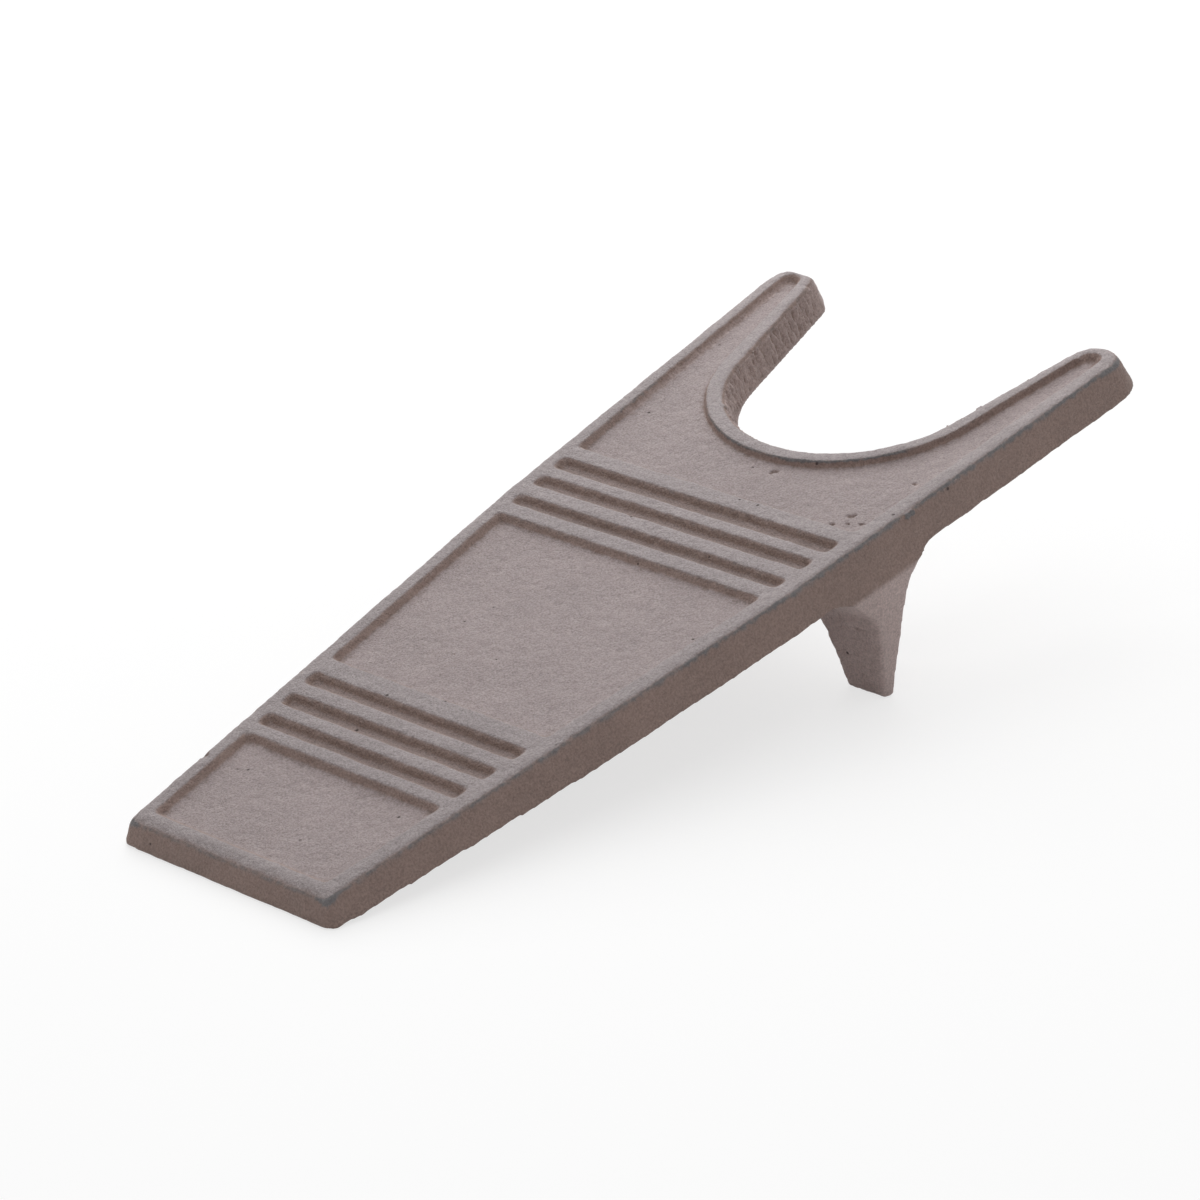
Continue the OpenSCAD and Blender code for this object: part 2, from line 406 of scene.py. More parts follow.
def notch_tool(lean, rim, bottom, top):
    """The heel notch as a solid: a round back and sides that open towards the tips.

    With a rim it reaches over the rim as well, which narrows towards the tips and isn't quite centred.
    """
    radius = NOTCH_RADIUS + rim
    taper = NOTCH_RIM_TAPER if rim > 0 else 0
    centre_y = NOTCH_RIM_CENTRE_Y if rim > 0 else NOTCH_CENTRE_Y
    tool = leaning_round("notch_tool", NOTCH_CENTRE_X, centre_y, radius, -lean, bottom, top)
    left_flare = math.radians(LEFT_NOTCH_FLARE - taper)
    right_flare = math.radians(RIGHT_NOTCH_FLARE - taper)
    left_x = NOTCH_CENTRE_X - radius * math.sin(left_flare)
    left_y = centre_y + radius * math.cos(left_flare)
    right_x = NOTCH_CENTRE_X - radius * math.sin(right_flare)
    right_y = centre_y - radius * math.cos(right_flare)
    mouth_x = min(left_x, right_x)
    mouth = block("notch_mouth", (mouth_x, -BESIDE_PRONGS, bottom), (BEYOND_TIPS, BESIDE_PRONGS, top))
    cut_wall(mouth, left_x, left_y, math.degrees(left_flare), -lean)
    cut_wall(mouth, right_x, right_y, 180 - math.degrees(right_flare), -lean)
    combine(tool, mouth, "UNION")
    return tool


def tread_solids(bottom, top, lean, tail_lean, notch_lean, rims=(0, 0, 0, 0, 0)):
    """The tread's plan as three solids: the plate, and the prongs' round tips, which start where it ends.

    The outline is moved in by the rims: at the tail's left and right, at the bend, along the prongs and
    round the notch. Without rims it is the casting's own outline, a little wider and steeper on the right.
    """
    left_rim_at_tail, right_rim_at_tail, side_rim_at_bend, prong_rim, notch_rim = rims
    outside = prong_rim == 0
    right_wide = RIGHT_SIDE_WIDE if outside else 0
    steeper = RIGHT_SIDE_STEEPER if outside else 0
    left_y = HALF_TAIL - left_rim_at_tail
    right_y = HALF_TAIL - right_rim_at_tail
    bend_y = HALF_BEND - side_rim_at_bend
    tip_y = HALF_TIP - prong_rim
    tip_x = TREAD_LENGTH - TIP_RADIUS
    left_heading = math.degrees(math.atan2(bend_y - left_y, BEND_X))
    right_heading = math.degrees(math.atan2(bend_y + right_wide - right_y, BEND_X))
    fork_heading = math.degrees(math.atan2(tip_y - bend_y, TREAD_LENGTH - BEND_X))
    plate = block("plate", (BEFORE_TAIL, -BESIDE_TREAD, bottom), (tip_x, BESIDE_TREAD, top))
    cut_wall(plate, TAIL_TOP_X, 0, 90, tail_lean)
    cut_wall(plate, 0, left_y, left_heading, lean)
    cut_wall(plate, 0, -right_y, 180 - right_heading, lean - steeper / 2)
    cut_wall(plate, BEND_X, bend_y, fork_heading, lean)
    cut_wall(plate, BEND_X, -bend_y - right_wide, 180 - fork_heading, lean - steeper)
    radius = TIP_RADIUS - prong_rim
    centre_y = tip_y - radius / math.cos(math.radians(fork_heading)) - TIP_RADIUS * slope(fork_heading)
    left_tip = leaning_round("left_tip", tip_x + LEFT_TIP_LONG, centre_y, radius, lean, bottom, top)
    right_tip = leaning_round(
        "right_tip",
        tip_x + RIGHT_TIP_LONG,
        -centre_y - right_wide / 2,
        radius + right_wide / 2,
        lean - steeper,
        bottom,
        top,
    )
    solids = [plate, left_tip, right_tip]
    if outside:
        round_top_edge(left_tip, TIP_ROUND)
        round_top_edge(right_tip, TIP_ROUND)
    carve(solids, notch_tool(notch_lean, notch_rim, bottom - CUT_CLEARANCE, top + CUT_CLEARANCE))
    return solids


def trim_tail(plate):
    """Thins the plate towards the tail, clips its two corners and rounds its tail edge."""
    thinning = math.atan2(PLATE_THICKNESS - TAIL_THICKNESS, THINNING_LENGTH)
    cut_underside(plate, THINNING_LENGTH, -PLATE_THICKNESS, thinning)
    cut_floor(plate)
    cut_wall(plate, TAIL_TOP_X, HALF_TAIL, 45, TAIL_CORNER_LEAN)
    cut_wall(plate, TAIL_TOP_X, -HALF_TAIL, 135, TAIL_CORNER_LEAN)
    cut_wall(plate, TAIL_TOP_X + TAIL_EDGE_ROUND, 0, 90, TAIL_EDGE_LEAN)
    round_top_edge(plate, TOP_EDGE_ROUND)


def trim_tips(left_tip, right_tip):
    """Flattens the ends of the prong tips and clips their inner corners; the right prong is longer."""
    right_tip_more = RIGHT_TIP_LONG + RIGHT_TIP_HEEL
    corner_x, corner_y = TIP_INNER_CORNER
    cut_wall(left_tip, TREAD_LENGTH - LEFT_TIP_SHORT, 0, -90, TIP_DRAFT)
    cut_wall(right_tip, TREAD_LENGTH + right_tip_more, 0, -90, TIP_DRAFT)
    cut_wall(left_tip, corner_x, corner_y, -135, TIP_CORNER_LEAN)
    cut_wall(right_tip, corner_x + right_tip_more, -corner_y, -45, TIP_CORNER_LEAN)


def sink_recesses(solids):
    """Sinks the panels and grooves into the tread, all cut from one pocket that the rims leave."""
    plate = solids[0]
    rims = (LEFT_RIM_AT_TAIL, RIGHT_RIM_AT_TAIL, SIDE_RIM_AT_BEND, PRONG_RIM, NOTCH_RIM)
    pocket, *tip_pockets = tread_solids(
        -RECESS_DEPTH, CUT_CLEARANCE, -RECESS_SIDE_SLOPE, -RECESS_SLOPE, -RECESS_NOTCH_SLOPE, rims
    )
    for start, end in RECESSES:
        recess = copied(pocket)
        cut_wall(recess, start, 0, 90, -RECESS_SLOPE)
        cut_wall(recess, end, 0, -90, -RECESS_SLOPE)
        carve(solids if end > TREAD_LENGTH else [plate], recess)
    for tip_pocket in tip_pockets:
        carve(solids, tip_pocket)
    bpy.data.objects.remove(pocket)


def make_tread():
    """The tread without its legs: the plate and the two prong tips, with the panels sunk into them."""
    solids = tread_solids(-PLATE_THICKNESS, 0, SIDE_DRAFT, TAIL_DRAFT, NOTCH_DRAFT)
    plate, left_tip, right_tip = solids
    trim_tail(plate)
    trim_tips(left_tip, right_tip)
    sink_recesses(solids)
    return solids


def spread_leg():
    """A foot that is extruded upwards, section by section, and spreads towards the plate."""
    low, tail_x, fork_x, inner_y = LEG_SECTIONS[0]
    high = LEG_SECTIONS[1][0]
    leg = block("leg", (tail_x, inner_y, low), (fork_x, LEG_OUTER_Y, high))
    bpy.ops.object.mode_set(mode="EDIT")
    bpy.ops.mesh.select_all(action="DESELECT")
    bpy.ops.object.mode_set(mode="OBJECT")
    for face in leg.data.polygons:
        face.select = face.normal.z > 0.5
    bpy.ops.object.mode_set(mode="EDIT")
    for height, next_tail, next_fork, next_inner in LEG_SECTIONS[1:]:
        if height > high:
            bpy.ops.mesh.extrude_region_move(TRANSFORM_OT_translate={"value": (0, 0, height - high)})
        longer = (next_fork - next_tail) / (fork_x - tail_x)
        wider = (LEG_OUTER_Y - next_inner) / (LEG_OUTER_Y - inner_y)
        outer_tail_corner = (tail_x, LEG_OUTER_Y, height)
        bpy.ops.transform.resize(value=(longer, wider, 1), center_override=outer_tail_corner)
        bpy.ops.transform.translate(value=(next_tail - tail_x, 0, 0))
        high, tail_x, fork_x, inner_y = height, next_tail, next_fork, next_inner
    bpy.ops.object.mode_set(mode="OBJECT")
    return leg


def make_leg():
    """The left leg, with its inner tail edge rounded, its outside trimmed and its sole on the floor."""
    leg = spread_leg()
    corners = [Vector((tail, inner, z)) for z, tail, _, inner in LEG_SECTIONS if z < LEG_EDGE_TOP]

    def on_inner_tail_edge(start, end):
        return all(min((place - corner).length for corner in corners) < ON_LEG_EDGE for place in (start, end))

    bevel_edges(leg, on_inner_tail_edge, LEG_EDGE_ROUND, segments=3)
    heading = math.degrees(math.atan2(HALF_TIP - HALF_BEND, TREAD_LENGTH - BEND_X))
    cut_wall(leg, BEND_X, HALF_BEND, heading, SIDE_DRAFT)
    fold = (BEND_X, HALF_BEND - LEG_FOLD_Z * slope(SIDE_DRAFT), LEG_FOLD_Z)
    cut(leg, fold, wall_normal(heading, -LEG_OUTER_LEAN))
    cut_floor(leg)
    return leg


def mirrored(piece):
    """A copy on the other side of the tread, with its faces turned outwards again."""
    copy = copied(piece)
    copy.scale = (1, -1, 1)
    apply_place(copy)
    bpy.ops.object.mode_set(mode="EDIT")
    bpy.ops.mesh.select_all(action="SELECT")
    bpy.ops.mesh.normals_make_consistent(inside=False)
    bpy.ops.object.mode_set(mode="OBJECT")
    return copy


def join(pieces, name):
    """Makes several solids one piece; where they overlap, the skin melts them together."""
    make_active(pieces[0])
    for piece in pieces:
        piece.select_set(True)
    bpy.ops.object.join()
    pieces[0].name = name
    return pieces[0]


def on_upper_side(place):
    return place.z > UPPER_SIDE_Z


def on_leg(place):
    ramp_start, ramp_end = LEG_RAMP
    return place.z < LEG_TOP_Z or (place.z < LEG_RAMP_TOP_Z and ramp_start < place.x < ramp_end)


def on_leg_tail_face(place):
    return place.z < LEG_TAIL_FACE_Z and place.x < LEG_TAIL_FACE_X


def on_low_corner(place):
    """Whether a place lies low on a prong tip or on the left corner of the tail."""
    tail_x, tail_y = LOW_TAIL_CORNER
    return place.z < LOW_CORNER_Z and (place.x > LOW_TIP_X or (place.x < tail_x and place.y > tail_y))


def on_parting_line(place):
    low, high = PARTING_LINE
    return low < place.z < high


def on_notch_wall(place):
    low, high = NOTCH_WALL
    if not low < place.z < high or place.x > NOTCH_WALL_END:
        return False
    along = place.x - NOTCH_CENTRE_X
    across = abs(place.y - NOTCH_CENTRE_Y)
    if place.x < NOTCH_SIDES_START:
        return math.hypot(along, across) < NOTCH_RADIUS + NEAR_NOTCH_BACK
    return across < NOTCH_RADIUS + NEAR_NOTCH_SIDE + along * slope(LEFT_NOTCH_FLARE)


def zone(piece, name, belongs):
    """A vertex group of the vertices whose place passes a test."""
    group = piece.vertex_groups.new(name=name)
    members = [vertex.index for vertex in piece.data.vertices if belongs(vertex.co)]
    group.add(members, 1.0, "REPLACE")
    return name


def soften(piece, rounds, group=""):
    make_active(piece)
    smooth = piece.modifiers.new("soften", "SMOOTH")
    smooth.factor = 0.5
    smooth.iterations = rounds
    smooth.vertex_group = group
    bpy.ops.object.modifier_apply(modifier=smooth.name)


def roughen(piece, name, size, height, group="", stretch=1):
    """Raises and sinks the skin by a cloudy pattern of a given size and height.

    A stretch above 1 draws the pattern out upwards.
    """
    texture = bpy.data.textures.new(name, "CLOUDS")
    texture.noise_scale = size
    texture.noise_depth = 2
    make_active(piece)
    displace = piece.modifiers.new(name, "DISPLACE")
    displace.texture = texture
    ruler = bpy.data.objects.new("ruler", None)
    ruler.scale = (1, 1, stretch)
    bpy.context.collection.objects.link(ruler)
    bpy.context.view_layer.update()
    displace.texture_coords = "OBJECT"
    displace.texture_coords_object = ruler
    displace.strength = height
    displace.mid_level = 0.5
    displace.vertex_group = group
    bpy.ops.object.modifier_apply(modifier=displace.name)
    bpy.data.objects.remove(ruler)


def raise_spots(piece, name, spots, height):
    """Raises the skin round some spots, each a place and a reach, or sinks it by a negative height."""

    def near_a_spot(place):
        return any((place - Vector(spot[:3])).length < spot[3] for spot in spots)

    group = zone(piece, name, near_a_spot)
    make_active(piece)
    displace = piece.modifiers.new(name, "DISPLACE")
    displace.strength = height
    displace.mid_level = 0
    displace.vertex_group = group
    bpy.ops.object.modifier_apply(modifier=displace.name)


def melt_together(piece):
    """Turns the joined solids into one closed skin."""
    make_active(piece)
    remesh = piece.modifiers.new("remesh", "REMESH")
    remesh.mode = "VOXEL"
    remesh.voxel_size = VOXEL
    remesh.use_smooth_shade = True
    bpy.ops.object.modifier_apply(modifier=remesh.name)


def thin_out(piece):
    """Takes out triangles until no more than the allowed number are left."""
    make_active(piece)
    triangles = sum(len(face.vertices) - 2 for face in piece.data.polygons)
    decimate = piece.modifiers.new("thin out", "DECIMATE")
    decimate.ratio = min(1, MOST_TRIANGLES / triangles)
    bpy.ops.object.modifier_apply(modifier=decimate.name)


def cast_skin(piece):
    """Gives the joined solids one skin with soft edges, a sand casting's slight waves and its faults."""
    melt_together(piece)
    upper_side = zone(piece, "upper side", on_upper_side)
    legs = zone(piece, "legs", on_leg)
    leg_tail_faces = zone(piece, "tail faces of the legs", on_leg_tail_face)
    low_corners = zone(piece, "low corners", on_low_corner)
    parting_line = zone(piece, "parting line", on_parting_line)
    notch_wall = zone(piece, "notch wall", on_notch_wall)
    soften(piece, rounds=10, group=upper_side)
    soften(piece, rounds=14, group=legs)
    soften(piece, rounds=14, group=low_corners)
    soften(piece, rounds=4)
    roughen(piece, "waves", size=9.0, height=0.3)
    roughen(piece, "sand", size=1.5, height=0.08)
    roughen(piece, "sand on top", size=1.5, height=0.14, group=upper_side)
    roughen(piece, "ragged parting line", size=2.2, height=0.12, group=parting_line)
    roughen(piece, "wavy tail faces", size=2.0, height=0.6, group=leg_tail_faces)
    roughen(piece, "wrinkled notch", size=1.2, height=1.7, group=notch_wall, stretch=5)
    raise_spots(piece, "pits", PITS, -PIT_DEPTH)
    raise_spots(piece, "burrs", BURRS, BURR_HEIGHT)
    thin_out(piece)
    piece.vertex_groups.clear()
    mark_skin(piece)


def vertex_vectors(mesh, kind):
    """The places ("co") or normals ("normal") of all vertices, one to a row."""
    vectors = np.empty(len(mesh.vertices) * 3)
    mesh.vertices.foreach_get(kind, vectors)
    return vectors.reshape(-1, 3)


def standing_out(piece, smoother):
    """How far each vertex stands out from its place on a smoother copy of the piece."""
    away = vertex_vectors(piece.data, "co") - vertex_vectors(smoother.data, "co")
    return (away * vertex_vectors(piece.data, "normal")).sum(axis=1)


def share(values, start, end):
    """How far values have come from a start towards an end, from 0 to 1."""
    return np.clip((values - start) / (end - start), 0, 1)


def worn_share(places, normals, edge):
    """How far each vertex is worn down to bare iron.

    What stands out wears, near the top face and on the sides that look to the tail and the right. The
    tail edge wears most. The notch, the left prong and the edges of the panels keep more of their skin,
    and flat faces keep all of it.
    """
    x, y, z = places.T
    normal_x, normal_y, normal_z = normals.T
    near_top = np.maximum(share(z, UNWORN_Z, WORN_Z), WORN_LOW_DOWN)
    toward_user = np.clip(0.5 - 1.6 * normal_x - 1.6 * normal_y, 0.1, 1.4)
    handled = np.interp(x, (0, HANDLED_X), (WORN_LESS, 1))
    at_notch = (x > FORK_X) & (np.abs(y - NOTCH_CENTRE_Y) < BESIDE_NOTCH) & (normal_y < -0.1)
    at_notch &= np.hypot(x - NOTCH_CENTRE_X, y) < NOTCH_RADIUS + NOTCH_EDGE
    on_left_prong = (x > PRONGS_X) & (y > LEFT_PRONG_Y)
    half_width = np.interp(x, (0, BEND_X, TREAD_LENGTH), (HALF_TAIL, HALF_BEND, HALF_TIP))
    inside = np.abs(y) < half_width - SIDE_EDGE
    handled[at_notch | on_left_prong] *= WORN_LITTLE
    handled[inside & (x < FORK_X)] *= WORN_LESS
    handled[inside & (x > PRONGS_X) & (y < RIGHT_PRONG_Y)] *= WORN_LITTLE
    handled[x < TAIL_EDGE_END_X] *= WORN_MORE
    handled *= share(normal_z, UNWORN_FLAT, WORN_SLANTING)
    return np.clip(edge / FULLY_WORN * near_top * toward_user * handled, 0, 1)


def rust_and_shade_share(places, proud):
    """How much each vertex lies in a hollow, where rust stays and shade is painted. The grooves count as
    hollows all over, so their walls and floors take painted shade.
    """
    x, y, z = places.T
    low, high = GROOVE_HEIGHTS
    half_groove = HALF_TAIL - SIDE_EDGE + (HALF_BEND - HALF_TAIL) * x / BEND_X
    # The grooves' walls and floors take painted shade all over
    sunk = (np.abs(y) < half_groove) & (z > low) & (z < high)
    groove = np.zeros(len(x))
    for start, end in RECESSES:
        if end - start < WIDEST_GROOVE:
            groove[sunk & (x > start) & (x < end)] = 1
    return np.maximum(share(-proud, 0, FULLY_HOLLOW), groove)


def painted_light_share(places, normals):
    """How much painted light each vertex takes: the legs below the parting line, for the floor's bounce, and
    the wall of the notch, more where it faces the fork end, for the softbox behind.
    """
    x, y, z = places.T
    normal_x, normal_y, _ = normals.T
    # Painted bounce light from the floor on the legs below the parting line
    below_parting = share(z, PARTING_Z, BELOW_PARTING_Z)
    in_notch = (x > FORK_X) & (np.abs(y) < AROUND_NOTCH) & (z < NOTCH_WALL_TOP)
    toward_notch = -normal_y * np.sign(y) > 0.25
    notch_wall = (in_notch & (toward_notch | (normal_x > 0.4))).astype(float)
    # Painted light from the softbox behind: paler the more the notch wall faces the fork end
    notch_wall *= 0.45 + 0.5 * share(normal_x, 0.3, 0.7)
    return np.maximum(below_parting, notch_wall)


def mark_skin(piece):
    """Stores how worn the skin is, how much rust and painted shade lie in its hollows and how much painted
    light it takes, vertex by vertex, as the colours of one attribute.

    A vertex is proud where it stands out from a smoother copy of the casting, and hollow where it lies
    below it. A still smoother copy shows the edges.
    """
    smoother = copied(piece)
    soften(smoother, rounds=14)
    proud = standing_out(piece, smoother)
    soften(smoother, rounds=16)
    edge = standing_out(piece, smoother)
    bpy.data.objects.remove(smoother)
    places = vertex_vectors(piece.data, "co")
    normals = vertex_vectors(piece.data, "normal")
    skin = np.ones((len(places), 4))
    skin[:, 0] = worn_share(places, normals, edge)
    skin[:, 1] = rust_and_shade_share(places, proud)
    skin[:, 2] = painted_light_share(places, normals)
    attribute = piece.data.attributes.new("skin", "FLOAT_COLOR", "POINT")
    attribute.data.foreach_set("color", skin.ravel())


def set_down(piece):
    """Tilts the flat drawing to its stance, sets it on the floor and brings it to metres."""
    tilt = Matrix.Rotation(math.radians(-STAND_ANGLE), 4, "Y")
    piece.matrix_world = Matrix.Scale(MM, 4) @ Matrix.Translation(TAIL_OFFSET) @ tilt
    apply_place(piece)
    lowest = vertex_vectors(piece.data, "co")[:, 2].min()
    bpy.ops.transform.translate(value=(0, 0, -lowest))
    apply_place(piece)


def make_casting():
    solids = make_tread()
    leg = make_leg()
    casting = join([*solids, leg, mirrored(leg)], "boot_jack_casting")
    cast_skin(casting)
    set_down(casting)
    bpy.ops.object.shade_smooth()
    return casting


class Nodes:
    """The node tree of a material or a world, with short ways to add its nodes and join them."""

    def __init__(self, owner):
        owner.use_nodes = True
        self.owner = owner
        self.tree = owner.node_tree

    def add(self, kind, settings=None, **inputs):
        node = self.tree.nodes.new(kind)
        for name, value in (settings or {}).items():
            setattr(node, name, value)
        for name, value in inputs.items():
            self.feed(node, name.replace("_", " "), value)
        return node

    def feed(self, node, name, value):
        """Sets an input, by its name or number, to a value, or links it to another node's output."""
        socket = node.inputs[int(name) if name.isdigit() else name]
        if isinstance(value, bpy.types.NodeSocket):
            self.tree.links.new(value, socket)
        else:
            socket.default_value = value


def noise(nodes, vector, scale, detail=3.0, roughness=0.5):
    node = nodes.add("ShaderNodeTexNoise", Vector=vector, Scale=scale, Detail=detail, Roughness=roughness)
    return node.outputs["Fac"]


def ramp(nodes, value, low, high, bottom=0.0, top=1.0):
    """Maps a value's stretch between two levels smoothly to another stretch."""
    node = nodes.add("ShaderNodeMapRange", {"interpolation_type": "SMOOTHSTEP"}, Value=value)
    nodes.feed(node, "From Min", low)
    nodes.feed(node, "From Max", high)
    nodes.feed(node, "To Min", bottom)
    nodes.feed(node, "To Max", top)
    return node.outputs["Result"]


def calculate(nodes, operation, first, second):
    node = nodes.add("ShaderNodeMath", {"operation": operation})
    nodes.feed(node, "0", first)
    nodes.feed(node, "1", second)
    return node.outputs["Value"]


def blend_colours(nodes, factor, under, over, mode="MIX"):
    node = nodes.add("ShaderNodeMix", {"data_type": "RGBA", "blend_type": mode})
    nodes.feed(node, "0", factor)
    nodes.feed(node, "6", under)
    nodes.feed(node, "7", over)
    return node.outputs[2]


def flat_drawing(nodes):
    """The place on the casting as the flat drawing has it, in millimetres."""
    mapping = nodes.add(
        "ShaderNodeMapping",
        Vector=nodes.add("ShaderNodeTexCoord").outputs["Object"],
        Location=-(LIE_FLAT @ TAIL_OFFSET),
        Rotation=(0, math.radians(STAND_ANGLE), 0),
        Scale=(1 / MM, 1 / MM, 1 / MM),
    )
    return mapping.outputs["Vector"]


def dark_pits(nodes, drawing):
    """1 in the small dark pits that are strewn over parts of the skin."""
    cells = nodes.add("ShaderNodeTexVoronoi", {"feature": "F1"}, Vector=drawing, Scale=PIT_SCALE)
    in_pit = ramp(nodes, cells.outputs["Distance"], 0.09, 0.04)
    in_strewn_part = ramp(nodes, noise(nodes, drawing, PIT_PATCH_SCALE, detail=1.0), 0.55, 0.60)
    return calculate(nodes, "MULTIPLY", in_pit, in_strewn_part)


def tread_flatness(nodes):
    """1 where the skin faces up the way the tread does, and 0 on the walls; these faces take the painted
    sheen.
    """
    geometry = nodes.add("ShaderNodeNewGeometry")
    facing = nodes.add("ShaderNodeVectorMath", {"operation": "DOT_PRODUCT"})
    nodes.feed(facing, "0", geometry.outputs["Normal"])
    nodes.feed(facing, "1", LIE_FLAT.inverted() @ Vector((0, 0, 1)))
    return ramp(nodes, facing.outputs["Value"], 0.72, 0.97)


def iron_tone(nodes, drawing, grain, flatness, crest):
    """How light the skin is: grain and clouds all over, painted light on upward faces towards the fork, and
    the rims' crests paler further from the tail.
    """
    drawn_x = nodes.add("ShaderNodeSeparateXYZ", Vector=drawing).outputs["X"]
    clouds = noise(nodes, drawing, CLOUD_SCALE)
    grainy = ramp(nodes, grain, 0.3, 0.7, bottom=0.77, top=1.2)
    cloudy = ramp(nodes, clouds, 0.35, 0.65, bottom=-0.04, top=0.04)
    tone = calculate(nodes, "ADD", grainy, cloudy)
    # Painted light: upward faces grow lighter towards the fork, nearer the softbox behind
    painted_fork_light = ramp(nodes, drawn_x, *PAINTED_LIGHT_STRETCH, top=0.16)
    # The rims' crests grow paler further from the tail
    paler_rims = calculate(nodes, "MULTIPLY", crest, ramp(nodes, drawn_x, *PALER_RIMS_STRETCH, top=0.08))
    fork_light_and_paler_rims = calculate(nodes, "ADD", painted_fork_light, paler_rims)
    return calculate(nodes, "ADD", tone, calculate(nodes, "MULTIPLY", flatness, fork_light_and_paler_rims))


def iron_relief(nodes, grain, lumps, pits):
    """The normal of the finest relief, which is too small for the mesh."""
    fine = calculate(nodes, "MULTIPLY", grain, 0.5)
    coarse = calculate(nodes, "MULTIPLY", lumps, 0.8)
    height = calculate(nodes, "ADD", fine, coarse)
    height = calculate(nodes, "SUBTRACT", height, calculate(nodes, "MULTIPLY", pits, 0.6))
    bump = nodes.add("ShaderNodeBump", Strength=1.0, Distance=RELIEF_HEIGHT * MM, Height=height)
    return bump.outputs["Normal"]


def make_iron():
    """Sand-cast iron: a brown skin, paler on the flats where boots rub it and lighter there with painted
    sheen, bare grey along worn edges, with rust and painted shade in the hollows and painted light on the
    legs and the notch wall.
    """
    nodes = Nodes(bpy.data.materials.new("cast_iron"))
    drawing = flat_drawing(nodes)
    grain = noise(nodes, drawing, GRAIN_SCALE, detail=4.0, roughness=0.65)
    lumps = noise(nodes, drawing, LUMP_SCALE)
    pits = dark_pits(nodes, drawing)
    flatness = tread_flatness(nodes)
    drawn_z = nodes.add("ShaderNodeSeparateXYZ", Vector=drawing).outputs["Z"]
    crest = ramp(nodes, drawn_z, -1.0, -0.4)

    skin = nodes.add("ShaderNodeAttribute", {"attribute_name": "skin"})
    marks = nodes.add("ShaderNodeSeparateColor", Color=skin.outputs["Color"])
    patches = ramp(nodes, lumps, 0.3, 0.55, bottom=0.75, top=1.1)
    worn = ramp(nodes, calculate(nodes, "MULTIPLY", marks.outputs["Red"], patches), 0.05, 0.85)
    hollow = ramp(nodes, marks.outputs["Green"], 0.15, 0.9)

    # Painted sheen: upward faces take a lighter, more neutral colour, besides being paler where boots rub
    # them
    rubbed_colour_with_sheen = blend_colours(nodes, crest, RUBBED_FLAT_WITH_SHEEN, RUBBED_CREST_WITH_SHEEN)
    colour = blend_colours(nodes, flatness, BROWN_SKIN, rubbed_colour_with_sheen)
    # Painted light on the legs and the notch wall
    colour = blend_colours(nodes, marks.outputs["Blue"], colour, PAINTED_LIGHT_SKIN)
    # Rust with painted shade in the hollows and the grooves
    colour = blend_colours(nodes, calculate(nodes, "MULTIPLY", hollow, RUST_AND_SHADE_SHARE), colour, HOLLOW_RUST_AND_SHADE)
    colour = blend_colours(nodes, calculate(nodes, "MULTIPLY", worn, BARE_SHARE), colour, BARE_EDGE)
    tone = iron_tone(nodes, drawing, grain, flatness, crest)
    shade = nodes.add("ShaderNodeCombineColor", Red=tone, Green=tone, Blue=tone)
    colour = blend_colours(nodes, 1.0, colour, shade.outputs["Color"], "MULTIPLY")
    colour = blend_colours(nodes, pits, colour, DARK_SPECK)

    dull = ramp(nodes, lumps, 0.3, 0.7, bottom=0.56, top=0.66)
    roughness = calculate(nodes, "SUBTRACT", dull, calculate(nodes, "MULTIPLY", worn, BARE_SHINE))
    shader = nodes.tree.nodes["Principled BSDF"]
    nodes.feed(shader, "Base Color", colour)
    nodes.feed(shader, "Roughness", roughness)
    nodes.feed(shader, "Metallic", calculate(nodes, "MULTIPLY", worn, BARE_METAL))
    nodes.feed(shader, "Normal", iron_relief(nodes, grain, lumps, pits))
    return nodes.owner


def seen_directly(nodes):
    """1 for a ray from the camera, and for one that a shiny or clear surface sends on."""
    paths = nodes.add("ShaderNodeLightPath")
    seen = calculate(nodes, "MAXIMUM", paths.outputs["Is Camera Ray"], paths.outputs["Is Glossy Ray"])
    return calculate(nodes, "MAXIMUM", seen, paths.outputs["Is Transmission Ray"])


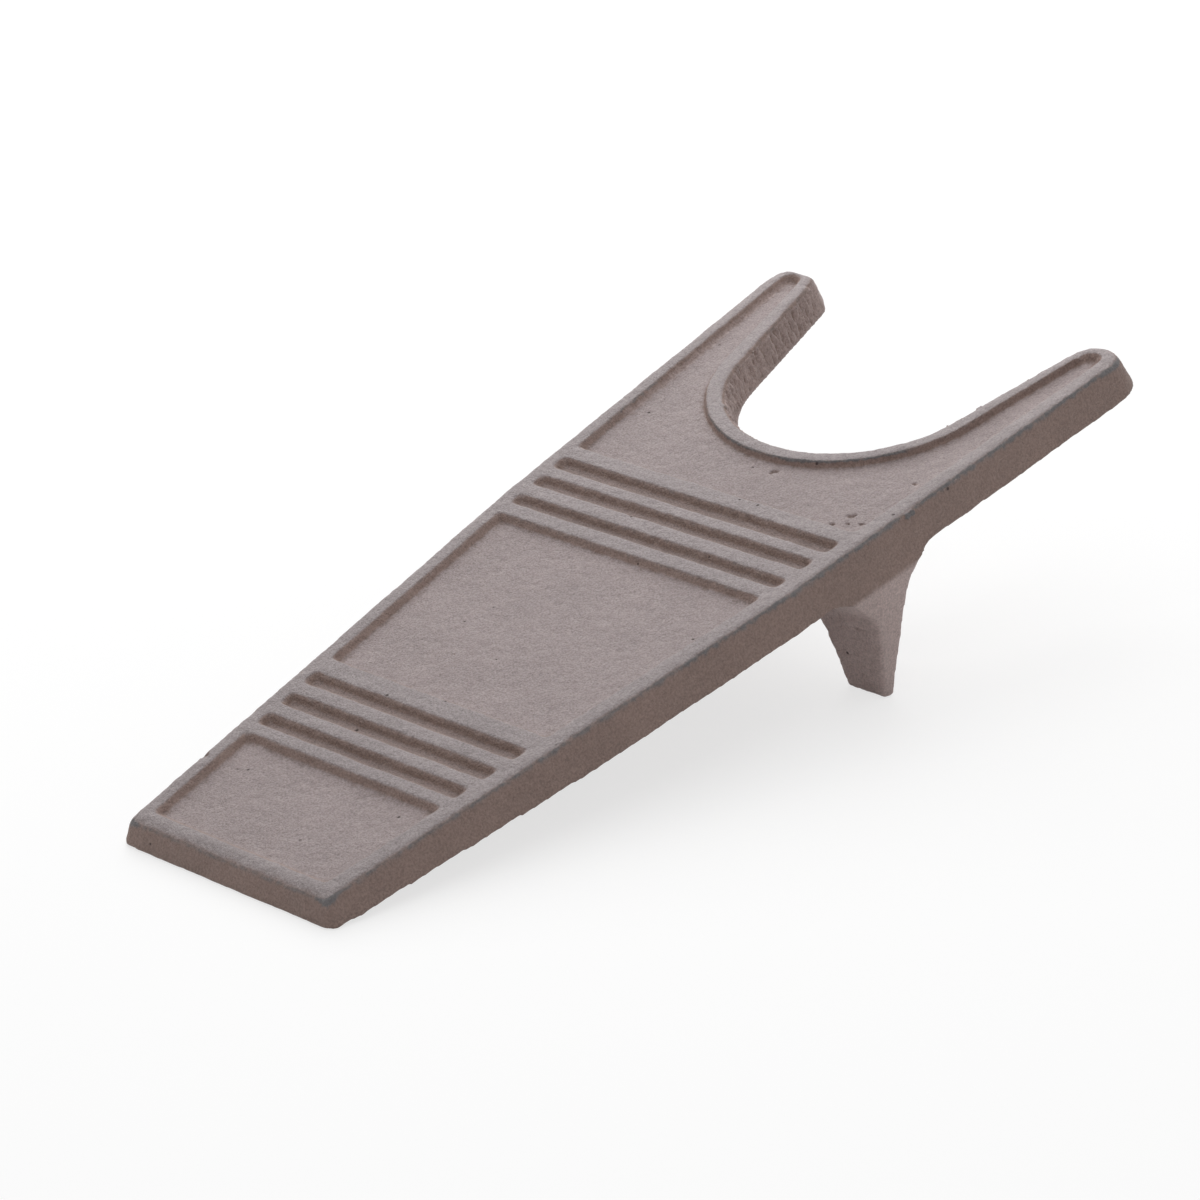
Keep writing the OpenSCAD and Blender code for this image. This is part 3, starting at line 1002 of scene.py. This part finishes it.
def make_floor():
    """A white floor: it shows as white paper that glows a little, and keeps the casting's shadow."""
    deselect_all()
    bpy.ops.mesh.primitive_plane_add(size=FLOOR_SIZE, location=(0, 0, 0))
    floor = bpy.context.object
    floor.name = "studio_floor"
    nodes = Nodes(bpy.data.materials.new("white_paper"))
    shader = nodes.tree.nodes["Principled BSDF"]
    nodes.feed(shader, "Base Color", PAPER)
    nodes.feed(shader, "Roughness", PAPER_ROUGHNESS)
    nodes.feed(shader, "Specular IOR Level", PAPER_SHINE)
    glow = nodes.add("ShaderNodeEmission", Strength=PAPER_GLOW)
    mixed = nodes.add("ShaderNodeMixShader")
    nodes.feed(mixed, "0", calculate(nodes, "MULTIPLY", seen_directly(nodes), GLOW_SHARE))
    nodes.feed(mixed, "1", shader.outputs["BSDF"])
    nodes.feed(mixed, "2", glow.outputs["Emission"])
    nodes.feed(nodes.tree.nodes["Material Output"], "Surface", mixed.outputs["Shader"])
    floor.data.materials.append(nodes.owner)


def add_camera():
    camera_data = bpy.data.cameras.new("camera")
    camera_data.lens = LENS_MM
    camera_data.sensor_width = SENSOR_MM
    camera_data.clip_end = CAMERA_REACH
    camera = bpy.data.objects.new("camera", camera_data)
    bpy.context.scene.collection.objects.link(camera)
    camera.location = CAMERA_PLACE
    camera.rotation_euler = [math.radians(angle) for angle in CAMERA_TURN]
    bpy.context.scene.camera = camera


def add_softbox(name, place, size, power):
    """A square softbox that looks at the casting."""
    light_data = bpy.data.lights.new(name, "AREA")
    light_data.size = size
    light_data.energy = power
    light = bpy.data.objects.new(name, light_data)
    light.location = place
    light.rotation_euler = (-Vector(place)).to_track_quat("-Z", "Y").to_euler()
    bpy.context.scene.collection.objects.link(light)


def light_studio():
    """White all round, which lights the casting softly, and two softboxes."""
    world = bpy.data.worlds.new("studio")
    bpy.context.scene.world = world
    nodes = Nodes(world)
    background = nodes.tree.nodes["Background"]
    strength = nodes.add("ShaderNodeMapRange", Value=seen_directly(nodes))
    nodes.feed(strength, "To Min", SKY_ON_CASTING)
    nodes.feed(strength, "To Max", SKY_IN_VIEW)
    nodes.feed(background, "Color", WHITE)
    nodes.feed(background, "Strength", strength.outputs["Result"])
    for name, place, size, power in SOFTBOXES:
        add_softbox(name, place, size, power)


casting = make_casting()
casting.data.materials.clear()
casting.data.materials.append(make_iron())
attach(casting, "root")
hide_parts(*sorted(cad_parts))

make_floor()
add_camera()
light_studio()
bpy.context.scene.view_settings.view_transform = "Standard"
